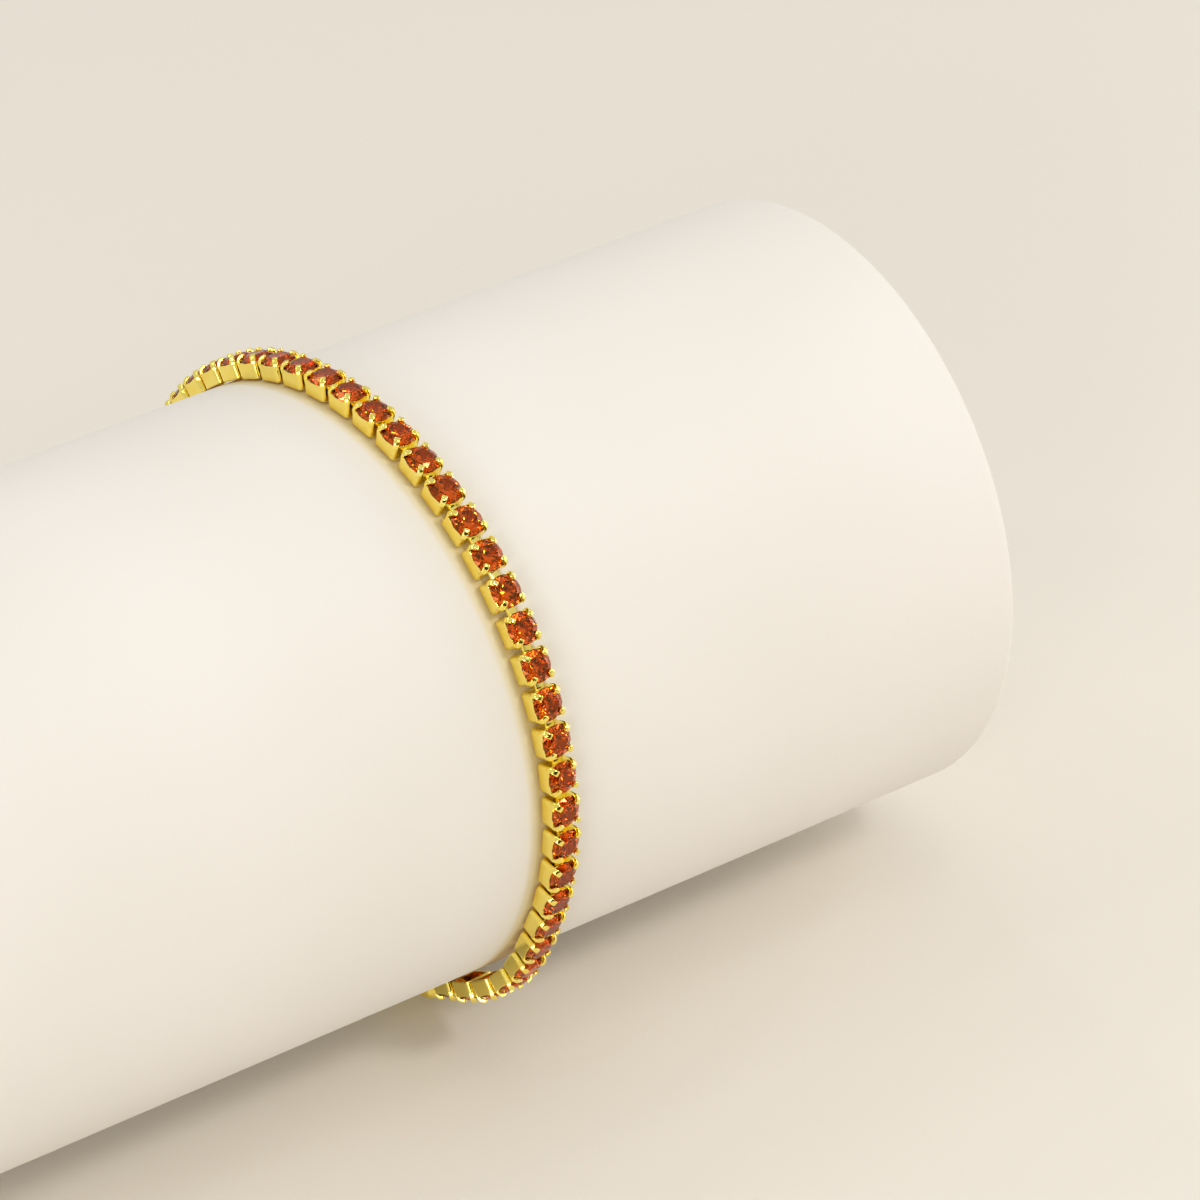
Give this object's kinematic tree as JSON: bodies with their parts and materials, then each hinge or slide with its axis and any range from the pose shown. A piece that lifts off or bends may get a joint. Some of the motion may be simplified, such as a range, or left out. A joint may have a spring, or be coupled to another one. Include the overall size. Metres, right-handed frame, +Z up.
{
  "type": "tennis bracelet on display roll",
  "caption": "Tennis bracelet of round orange stones in square gold settings with a plain box clasp, laid as a closed loop round a plain white display roll.",
  "frame": {"origin": "middle of the whole object's base, on the surface that it rests on", "axes": "+X along the display roll towards the end the bracelet is nearer to, +Z up"},
  "size_m": [0.112, 0.0584, 0.0584],
  "materials": {
    "gold_plate": "polished lemon-gold plating; the orange stones are fused in these nodes",
    "roll_cover": "smooth matte warm white cover"
  },
  "bodies": {
    "root": {"stone_row_front": "gold_plate", "stone_row_back": "gold_plate", "clasp": "gold_plate", "display_roll": "roll_cover"}
  },
  "joints": []
}
